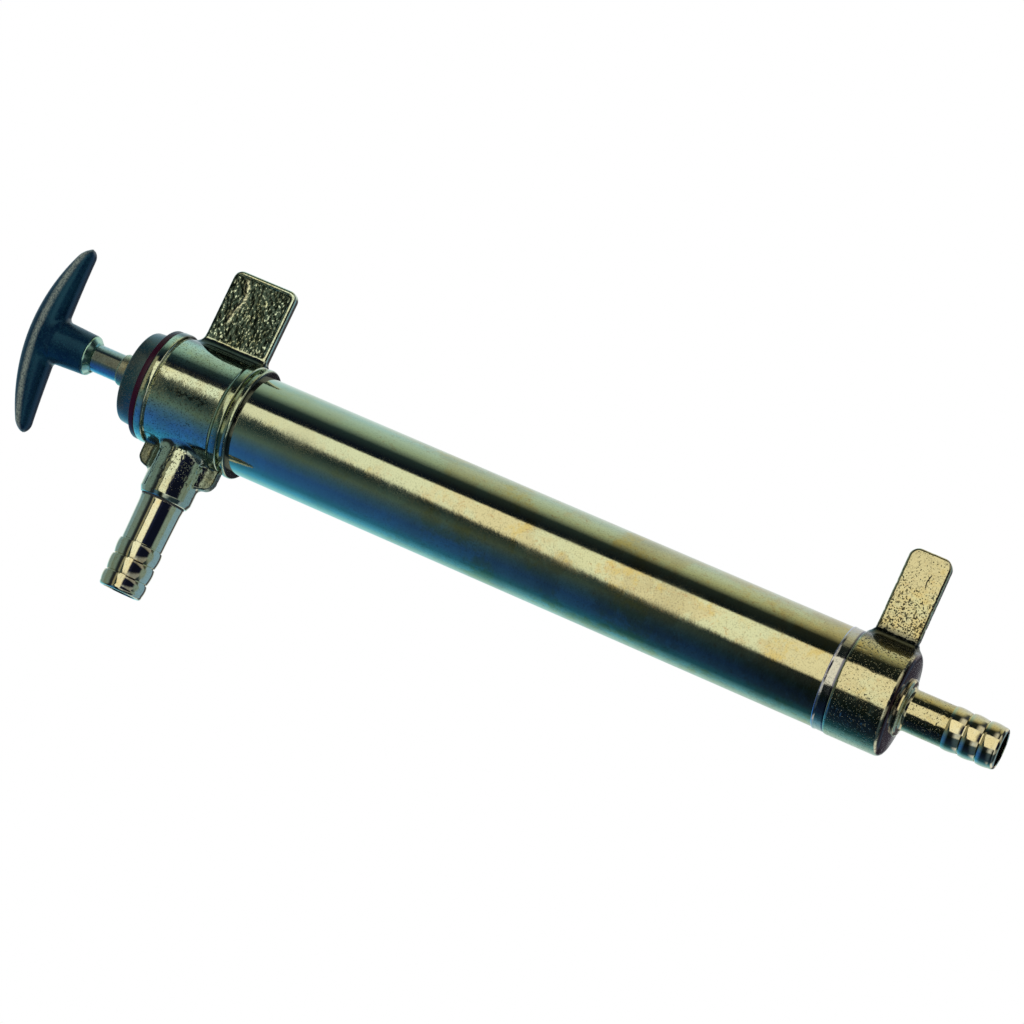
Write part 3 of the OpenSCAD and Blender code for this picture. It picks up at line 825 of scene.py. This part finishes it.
def foot_skin(points):
    """How far the cast skin stands off the foot's plain surface, in mm."""
    x, y, z = points.T
    skin = (np.hypot(x, y) > WATER_R + 0.8) & (z < FOOT_TOP - 1.5) & (z > 26.6)
    lug = step_up(x, 26, 31)
    worn = 0.022 * smooth_noise(points, 4.0, 3) + 0.05 * lug * smooth_noise(points, 2.2, 4)
    thick = step_up(-x, -66, -34) * lug + 0.10 * (1 - lug)
    holes = step_up(smooth_noise(points, 1.15, 11) + 0.35 * (thick - 1), 0.22, 0.55)
    holes = (0.08 + 0.12 * lug) * holes
    end_face = step_up(z, 44.0, 45.0) * (1 - step_up(z, 50.5, 52.5))
    return np.minimum(np.where(skin, worn - holes, 0) * (1 - end_face), 0.05)


def make_foot():
    """The foot's body and lug in one casting."""
    points, quads = surface(foot_field, (-27, -27, 24), (72.2, 27, SPIGOT_TOP + 1), CAST_STEP)
    _, slope = slope_of(foot_field, points)
    points = points + slope * foot_skin(points)[:, None]
    points[:, 0] = np.minimum(points[:, 0], FOOT_LUG_X)
    piece("foot_cast", points, quads, "cast_bronze", ["foot_casting"], crease=60)


def lug_face_edge(x, y, z):
    """Distance outside the head lug's sunk face, which has a rim at its end and on its foot side."""
    return plate_field(x, y, z, LUG_START, HEAD_LUG_X, HEAD_Z + 2.2, HEAD_Z + 60, 4.5, 0.9)[1]


BOSS_OUTLINE = rounded([
    (0, 15, 0), (BOSS_R, 15, 0), (BOSS_R, 48.4, 0.8), (12.1, BOSS_END - 0.2, 0.5),
    (11.5, BOSS_END, 0.2), (0, BOSS_END, 0)
])


def head_field(x, y, z):
    """The head between its rims, with its lug, its two ears and the outlet's boss."""
    r = np.hypot(x, y)
    body = np.maximum(r - HEAD_R, np.abs(z - HEAD_Z - 22) - 19)
    inward = -lug_face_edge(x, y, z)
    sunk = 0.40 * step_up(inward, 2.0, 2.9) * step_up(x, 31, 34) + 0.07 * np.clip(2.9 - inward, 0, 2.9)
    lug, _ = plate_field(
        x, y, z, LUG_START, HEAD_LUG_X, HEAD_Z + 2.2, HEAD_Z + 36.9, 4.5, 1.2, LUG_T / 2 - sunk)
    ears, _ = plate_field(x, y, z, -39, -15, HEAD_Z - 0.4, HEAD_Z + 41.1, 5.5, 0.9)
    from_outlet = np.hypot(y, z - OUTLET_Z)
    boss = outline_field(from_outlet, -x, BOSS_OUTLINE)
    solid = joined(body, lug, 4.5)
    solid = joined(solid, ears, 2.0)
    solid = joined(solid, boss, 3.0)
    solid = cut(solid, np.maximum(r - TUBE_R + SKIN_GAP, z - TUBE_TOP))
    solid = cut(solid, r - BORE_R)
    return cut(solid, np.maximum(from_outlet - TAIL_THREAD_R, x))


def head_skin(points, face):
    """How far the cast skin stands off the head's plain surface, in mm."""
    x, y, z = points.T
    off_boss = np.hypot(y, z - OUTLET_Z) > 10.8
    rough = 0.05 * smooth_noise(points, 2.4, 24)
    rough = rough - 0.10 * step_up(smooth_noise(points, 1.2, 31), 0.25, 0.6)
    rough = rough * ((x < -25) & off_boss) * (1 - step_up(-x, 40, 47))
    outer = (np.hypot(x, y) > HEAD_R - 1) & ((x > 0) | off_boss)
    return np.minimum(face * crinkle(points) + rough, 0.30) * outer


def make_head():
    """The head's body, lug, ears and boss in one casting, with a shade of bronze for each."""
    points, quads = surface(
        head_field, (-52.5, -28.5, HEAD_Z - 1.5), (69.2, 28.5, HEAD_Z + 42.5), CAST_STEP)
    _, slope = slope_of(head_field, points)
    x, y, z = points.T
    face = step_up(-lug_face_edge(x, y, z), 2.2, 3.2) * step_up(x, 30.0, 33.0)
    face = face * step_up(np.abs(slope[:, 1]), 0.7, 0.95)
    points = points + slope * head_skin(points, face)[:, None]
    obj = piece("head_cast", points, quads, "head_bronze", ["head_casting"], crease=60)
    for name in ("lug_bronze", "boss_bronze", "ear_bronze"):
        obj.data.materials.append(MATERIALS[name])
    cx, cy, cz = points[quads].mean(1).T
    shade = np.where((cx > 30.5) & (face[quads].mean(1) > 0.3), 1, 0)
    shade = np.where((cx < -26) & (np.hypot(cy, cz - OUTLET_Z) < 15.5), 2, shade)
    shade = np.where((cx < -24.5) & (np.abs(cz - OUTLET_Z) > 14.2), 3, shade)
    obj.data.polygons.foreach_set("material_index", shade.astype(np.int32))


def crinkle(points):
    """Folded skin on the head lug's sunk faces, in mm, with one tall crease on the front."""
    x, y, z = points.T
    along, across = 0.92 * x + 0.38 * z, 0.92 * z - 0.38 * x
    grid = np.stack([along / 1.6, y, across], -1)
    flecks = 0.30 - np.abs(smooth_noise(grid, 1.3, 21)) * 1.1 + 0.6 * smooth_noise(grid, 0.9, 22)
    line = CREASE_Z + CREASE_SWING * np.sin((x - CREASE_X) / CREASE_BEND)
    width = 0.8 + 1.0 * step_up(x, 54, 62)
    ends = step_up(x, CREASE_X, 43) * (1 - step_up(x, 62, 66))
    crease = np.exp(-((z - line) / width) ** 2) * ends * (y < 0)
    crease = crease * (0.80 + 0.45 * smooth_noise(points, 2.2, 26))
    return 0.20 * flecks - 0.06 + 0.20 * smooth_noise(points, 7, 23) + 0.34 * crease


HUB_OUTLINE = rounded([
    (0, GRIP_LOW, 0), (GRIP_R + 0.05, GRIP_LOW, 0.5), (11.2, HANDLE_TOP - 17, 0),
    (9.0, HANDLE_TOP - 9, 0), (0, HANDLE_TOP - 9, 0)
])


def handle_field(x, y, z):
    """The T-handle: a bar under a round crown, drawn out to blunt ends, on a hub round the rod."""
    c, s = math.cos(-HANDLE_TURN), math.sin(-HANDLE_TURN)
    u, v = c * x - s * y, s * x + c * y
    a = np.abs(u)
    crown = HANDLE_TOP - arc_drop(CROWN_R, a)
    under = HANDLE_TOP - 17.0 - arc_drop(650.0, a)
    end = np.sqrt(np.clip(1 - (np.maximum(a - HANDLE_REACH + BLUNT, 0) / BLUNT) ** 2, 1e-4, 1))
    tall = np.maximum((crown - under) / 2, 2.6) * end
    deep = (8.4 - 3.6 * (a / HANDLE_REACH) ** 1.6) * end
    w = (z - (crown + under) / 2) / tall
    power = np.where(w > 0, 2.1, 2.7)
    bar = (np.abs(v / deep) ** power + np.abs(w) ** power) ** (1 / power) - 1
    bar = bar * np.minimum(tall, deep)
    bar = np.where(a > HANDLE_REACH, np.maximum(bar, a - HANDLE_REACH), bar)
    r = np.hypot(x, y)
    solid = joined(bar, outline_field(r, z, HUB_OUTLINE), 2.5)
    return cut(solid, np.maximum(r - 6.52, z - GRIP_LOW - 19))


def arc_drop(radius, a):
    """How far an arc has fallen below its top at a distance along it."""
    return radius - np.sqrt(np.maximum(radius ** 2 - a * a, 1))


def make_handle():
    """The T-handle with the hub that takes the rod's end."""
    points, quads = surface(
        handle_field, (-49.5, -21.5, GRIP_LOW - 1), (49.5, 21.5, HANDLE_TOP + 1), HANDLE_STEP)
    piece("t_handle", points, quads, "handle_plastic", ["handle"], body="rod", crease=60)


# ---------------- inner CAD pieces keep their shapes

def dress_inner_nodes():
    """Gives each CAD node that no piece replaces the material of its slot."""
    slots = {s["node"]: s["material_slot"] for s in frame["record"]["subparts"]}
    for name, obj in frame["nodes"].items():
        if obj.hide_render:
            continue
        for slot in obj.material_slots:
            slot.material = MATERIALS[slots[name]]
        if not obj.material_slots:
            obj.data.materials.append(MATERIALS[slots[name]])


# ---------------- camera, lights and floor

CAMERA_AIM = Vector((11.3, 0.0, 257.7)) * MM
CAMERA_ANGLES = (-6.69, -16.06, -66.7)     # azimuth from -Y towards +X, elevation, roll: degrees
CAMERA_DISTANCE = 1.743                    # in metres
CAMERA_LENS = 129.2


def make_camera():
    """Seen from the foot end, a little to the outlet's side, with the handle to the upper left."""
    azimuth, elevation, roll = (math.radians(a) for a in CAMERA_ANGLES)
    level = math.cos(elevation)
    back = Vector((math.sin(azimuth) * level, -math.cos(azimuth) * level, math.sin(elevation)))
    camera = bpy.data.cameras.new("camera")
    camera.sensor_width, camera.lens = 36.0, CAMERA_LENS
    camera.clip_start, camera.clip_end = 0.05, 60.0
    obj = bpy.data.objects.new("camera", camera)
    bpy.context.scene.collection.objects.link(obj)
    place = Matrix.Translation(CAMERA_AIM + back * CAMERA_DISTANCE)
    facing = (-back).to_track_quat("-Z", "Y").to_matrix().to_4x4()
    obj.matrix_world = place @ facing @ Matrix.Rotation(roll, 4, "Z")
    bpy.context.scene.camera = obj


# Azimuth from -Y towards +X in degrees, and the light that comes from there: from 1 to about 10
# degrees up, from 22 degrees up, and from below the horizon.
LEVEL_SKY = [
    (-180, (0.64, 0.76, 0.72)), (-153, (0.47, 0.72, 0.77)), (-133, (0.17, 0.43, 0.59)),
    (-113, (0.017, 0.08, 0.127)), (-93, (0.010, 0.023, 0.05)), (-73, (0.005, 0.010, 0.025)),
    (-53, (0.004, 0.008, 0.007)), (-30, (0.015, 0.020, 0.025)), (38, (0.006, 0.012, 0.016)),
    (66, (0.02, 0.025, 0.02)), (86, (0.60, 0.57, 0.34)), (107, (0.75, 0.78, 0.62)),
    (127, (0.72, 0.76, 0.74)), (147, (0.78, 0.82, 0.85)), (180, (0.80, 0.86, 0.84)),
]
HIGH_SKY = [
    (-180, (0.53, 0.87, 0.98)), (-153, (0.28, 0.80, 1.0)), (-133, (0.08, 0.50, 0.98)),
    (-113, (0.04, 0.25, 0.55)), (-93, (0.04, 0.18, 0.55)), (-73, (0.037, 0.14, 0.48)),
    (-53, (0.06, 0.16, 0.33)), (-33, (0.12, 0.19, 0.18)), (-13, (0.024, 0.050, 0.06)),
    (46, (0.003, 0.005, 0.018)), (66, (0.025, 0.05, 0.06)), (86, (0.32, 0.48, 0.44)),
    (107, (0.48, 0.69, 0.70)), (127, (0.48, 0.78, 0.92)), (160, (0.85, 0.97, 1.0)),
    (180, (0.8, 0.98, 1.0)),
]
LOWER_SKY = [
    (-180, (0.085, 0.075, 0.095)), (-158, (0.085, 0.075, 0.095)), (-146, (0.95, 0.97, 1.0)),
    (-112, (0.90, 0.93, 0.95)), (-100, (0.05, 0.09, 0.14)), (-52, (0.06, 0.10, 0.14)),
    (-44, (0.70, 0.74, 0.75)), (-26, (0.60, 0.64, 0.66)), (-16, (0.012, 0.016, 0.05)),
    (24, (0.012, 0.016, 0.05)), (36, (0.70, 0.70, 0.66)), (60, (0.75, 0.75, 0.70)),
    (72, (0.04, 0.05, 0.07)), (104, (0.05, 0.06, 0.08)), (114, (0.95, 0.95, 0.92)),
    (150, (0.95, 0.96, 0.95)), (162, (0.085, 0.075, 0.095)), (180, (0.085, 0.075, 0.095)),
]
DEEP_BEHIND = (0.25, 0.42, 0.60)
LEDGE = (0.02, 0.025, 0.035)
OVERHEAD_BEHIND, OVERHEAD_FRONT = (0.24, 0.38, 0.46), (0.19, 0.27, 0.27)
NADIR = (0.25, 0.33, 0.31)
REFLECTOR = (0.32, 0.31, 0.22)
SOFT_BOX = (1.16, 1.13, 0.93)
ROOM_FILL = (0.80, 0.82, 0.84)


def sky(n, turn, stops):
    """Light round the horizon, from pairs of an azimuth and a colour."""
    node = n.add("ShaderNodeValToRGB")
    while len(node.color_ramp.elements) < len(stops):
        node.color_ramp.elements.new(0.5)
    for element, (angle, colour) in zip(node.color_ramp.elements, stops):
        element.position = (angle + 180) / 360
        element.color = (*colour, 1.0)
    n.join(n.ramp(turn, -180, 180, 0, 1, "LINEAR"), node.inputs["Fac"])
    return node.outputs["Color"]


def surroundings(n, turn, rise):
    """The skies and what lies above and below them, as seen in the metal."""
    level, raised = sky(n, turn, LEVEL_SKY), sky(n, turn, HIGH_SKY)
    colour = n.mix(n.ramp(rise, 10.5, 22, 0, 1, "LINEAR"), level, raised)
    lower = sky(n, turn, LOWER_SKY)
    colour = n.mix(n.ramp(rise, -9, 1, 0, 1), lower, colour)
    in_front = n.ramp(n.math("ABSOLUTE", turn), 95, 130, 1, 0)
    deep = n.mix(in_front, DEEP_BEHIND, n.mix(0.55, lower, (0, 0, 0)))
    colour = n.mix(n.ramp(rise, -22, -32, 0, 1), colour, deep)
    colour = n.mix(n.math("MULTIPLY", in_front, n.ramp(rise, 28, 35, 0, 1)), colour, LEDGE)
    overhead = n.mix(in_front, OVERHEAD_BEHIND, OVERHEAD_FRONT)
    colour = n.mix(n.ramp(rise, 44, 60, 0, 1), colour, overhead)
    return n.mix(n.ramp(rise, -68, -80, 0, 1), colour, NADIR)


def reflector(n, turn, rise):
    """Mask of the dim panel above the soft box."""
    across = n.math("MULTIPLY", n.ramp(turn, -36, -22, 0, 1), n.ramp(turn, 50, 42, 0, 1))
    upward = n.math("MULTIPLY", n.ramp(rise, 22, 23.5, 0, 1), n.ramp(rise, 35, 29, 0, 1))
    return n.math("MULTIPLY", across, upward)


def soft_box(n, turn, rise):
    """Mask of the bright box in front, whose left edge slants, and bends near its top."""
    slant = n.math("MULTIPLY", n.math("MAXIMUM", n.math("SUBTRACT", rise, 11.0), 0.0), 3.36)
    bend = n.math("MULTIPLY", n.math("MAXIMUM", n.math("SUBTRACT", rise, 19.5), 0.0), 2.2)
    left = n.ramp(n.math("SUBTRACT", turn, n.math("ADD", slant, bend)), -27, -21, 0, 1)
    right = n.ramp(turn, 34, 38, 1, 0)
    ends = n.math("MULTIPLY", n.ramp(rise, -17, -9, 0, 1), n.ramp(rise, 22.2, 23.4, 1, 0))
    return n.math("MULTIPLY", n.math("MULTIPLY", left, right), ends)


def make_world():
    """A studio that the metal reflects, white to the camera and plain to diffuse light."""
    world = bpy.data.worlds.new("studio")
    bpy.context.scene.world = world
    world.use_nodes = True
    world.node_tree.nodes.clear()
    n = Nodes(world.node_tree, "Generated")
    x, y, z = n.axis("X"), n.axis("Y"), n.axis("Z")
    turn = n.math("MULTIPLY", n.math("ARCTAN2", x, n.math("MULTIPLY", y, -1.0)), 180 / math.pi)
    rise = n.math("MULTIPLY", n.math("ARCSINE", z), 180 / math.pi)
    colour = surroundings(n, turn, rise)
    colour = n.mix(reflector(n, turn, rise), colour, REFLECTOR)
    colour = n.mix(soft_box(n, turn, rise), colour, SOFT_BOX)
    path = n.add("ShaderNodeLightPath")
    colour = n.mix(path.outputs["Is Diffuse Ray"], colour, ROOM_FILL)
    colour = n.mix(path.outputs["Is Camera Ray"], colour, (1, 1, 1))
    light, out = n.add("ShaderNodeBackground", Color=colour), n.add("ShaderNodeOutputWorld")
    n.join(light.outputs[0], out.inputs["Surface"])


def make_light(name, place, aim, size, power):
    """A round soft light that shows neither in the picture nor in the metal."""
    light = bpy.data.lights.new(name, "AREA")
    light.shape, light.size, light.energy = "DISK", size, power
    obj = bpy.data.objects.new(name, light)
    bpy.context.scene.collection.objects.link(obj)
    obj.location = Vector(place)
    obj.rotation_euler = (Vector(aim) - Vector(place)).to_track_quat("-Z", "Y").to_euler()
    obj.visible_camera = False
    obj.visible_glossy = False


def make_floor():
    """A pale round floor that fades out at its rim, below the camera's view."""
    rings, spokes, radius, level = 12, 64, 0.75, -0.30
    verts, faces = [(0, 0, level)], []
    for i in range(1, rings + 1):
        r = radius * i / rings
        for j in range(spokes):
            a = 2 * math.pi * j / spokes
            verts.append((r * math.cos(a), r * math.sin(a), level))
    for j in range(spokes):
        faces.append((0, 1 + j, 1 + (j + 1) % spokes))
    for i in range(rings - 1):
        for j in range(spokes):
            a, b = 1 + i * spokes + j, 1 + i * spokes + (j + 1) % spokes
            faces.append((a, a + spokes, b + spokes, b))
    mesh = bpy.data.meshes.new("floor")
    mesh.from_pydata(verts, [], faces)
    floor = bpy.data.objects.new("floor", mesh)
    bpy.context.scene.collection.objects.link(floor)
    floor.visible_glossy = False
    material, n = new_material("floor_paper")
    reach = n.add("ShaderNodeVectorMath", operation="LENGTH", Vector=n.place).outputs["Value"]
    paper = n.mix(n.noise(3.0), (0.86, 0.86, 0.85), (0.82, 0.82, 0.82))
    fade = n.ramp(reach, 0.45, 0.80, 1.0, 0.0)
    mesh.materials.append(finish_material(material, n, Base_Color=paper, Roughness=0.9, Alpha=fade))


make_camera()
make_barrel()
make_inlet_tail()
make_foot()
make_head_rims()
make_head()
make_outlet_tail()
make_gland()
make_rod()
make_handle()
dress_inner_nodes()
make_world()
make_light("key", (-0.35, -1.3, 0.9), (0, 0, 0.25), 0.8, 8)
make_floor()
bpy.context.scene.view_settings.view_transform = "Standard"
